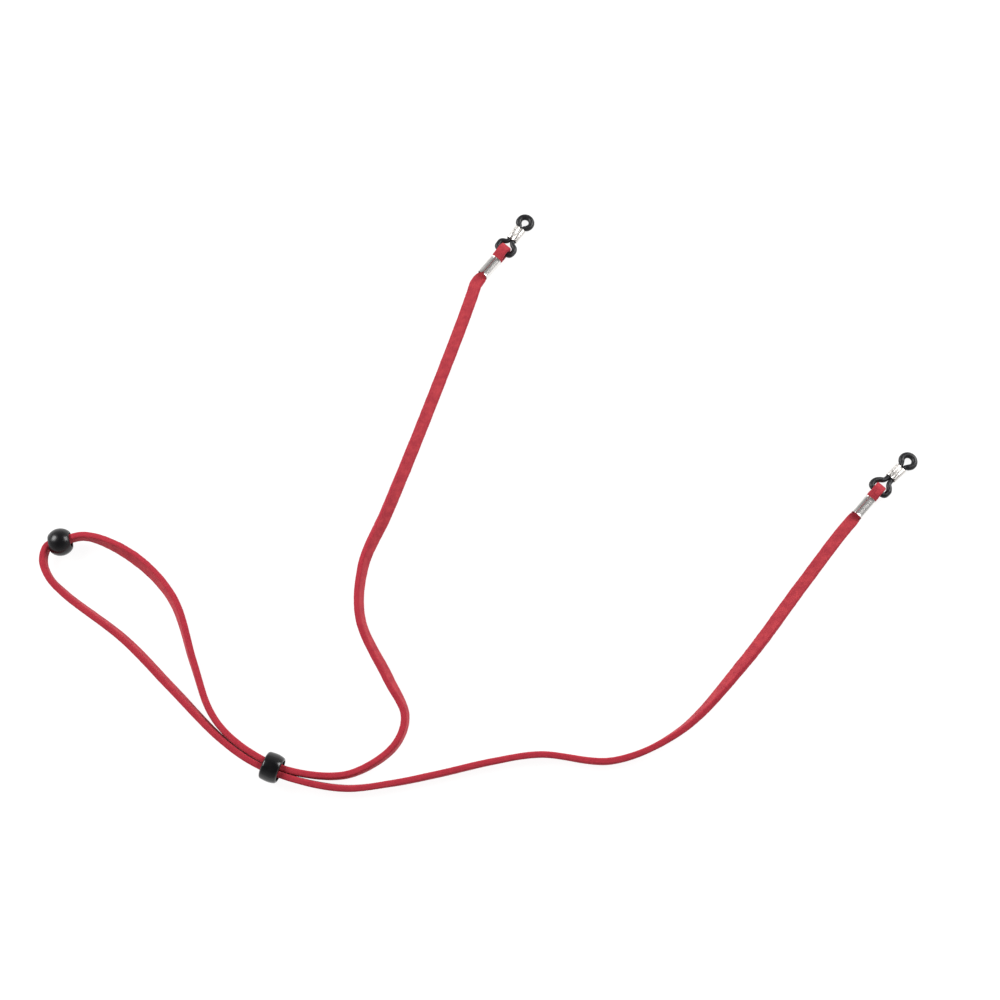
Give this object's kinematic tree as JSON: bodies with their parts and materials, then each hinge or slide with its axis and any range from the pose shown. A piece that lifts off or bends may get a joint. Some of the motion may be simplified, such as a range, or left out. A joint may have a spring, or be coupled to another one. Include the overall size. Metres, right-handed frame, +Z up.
{
  "type": "eyeglass retainer strap",
  "caption": "Flat suede neck lace for glasses, with a barrel slider, a round bead, and folded and crimped ends that carry rubber eyelets with ribbed metal sleeves.",
  "frame": {"origin": "middle of the laid-out strap, on the surface that it lies on", "axes": "+X along the strap's longest way, towards the end with the right crimp, +Y towards the left crimp, +Z up from the surface"},
  "size_m": [0.2771, 0.1901, 0.009],
  "materials": {
    "suede": "matte, short napped faux suede, red, a little fuzzy along its edges",
    "crimp_metal": "polished nickel-plated strip",
    "sleeve_metal": "nickel-plated, finely ribbed across",
    "loop_rubber": "satin black rubber",
    "bead_plastic": "satin black moulded plastic",
    "slider_plastic": "glossy black moulded plastic"
  },
  "bodies": {
    "lace": {"lace": "suede", "left_lace_crimp": "crimp_metal", "right_lace_crimp": "crimp_metal"},
    "slider": {"slider": "slider_plastic"},
    "bead": {"bead": "bead_plastic"},
    "left_end_loop": {"left_rubber_loop": "loop_rubber"},
    "right_end_loop": {"right_rubber_loop": "loop_rubber"},
    "left_sleeve": {"left_loop_sleeve": "sleeve_metal"},
    "right_sleeve": {"right_loop_sleeve": "sleeve_metal"}
  },
  "joints": [
    {"name": "slider_travel", "type": "hinge", "parent": "lace", "child": "slider", "pos_m": [-0.04627, -0.04406, 0.0045], "axis": [0, 0, 1], "range_deg": [-18, 8]},
    {"name": "bead_slide", "type": "slide", "parent": "lace", "child": "bead", "axis": [0.9763, 0.2164, 0], "range_m": [0, 0.0045]},
    {"name": "left_loop_swing", "type": "hinge", "parent": "lace", "child": "left_end_loop", "pos_m": [0.00564, 0.08085, 0.00235], "axis": [0.7716, -0.6361, 0], "range_deg": [0, 135]},
    {"name": "right_loop_swing", "type": "hinge", "parent": "lace", "child": "right_end_loop", "pos_m": [0.12436, -0.0008, 0.00235], "axis": [0.7478, -0.6639, 0], "range_deg": [0, 135]},
    {"name": "left_sleeve_slide", "type": "slide", "parent": "left_end_loop", "child": "left_sleeve", "axis": [0.5716, 0.8168, -0.0782], "range_m": [-0.0005, 0.0003]},
    {"name": "right_sleeve_slide", "type": "slide", "parent": "right_end_loop", "child": "right_sleeve", "axis": [0.7197, 0.6898, -0.0782], "range_m": [-0.0012, 0.0006]}
  ]
}
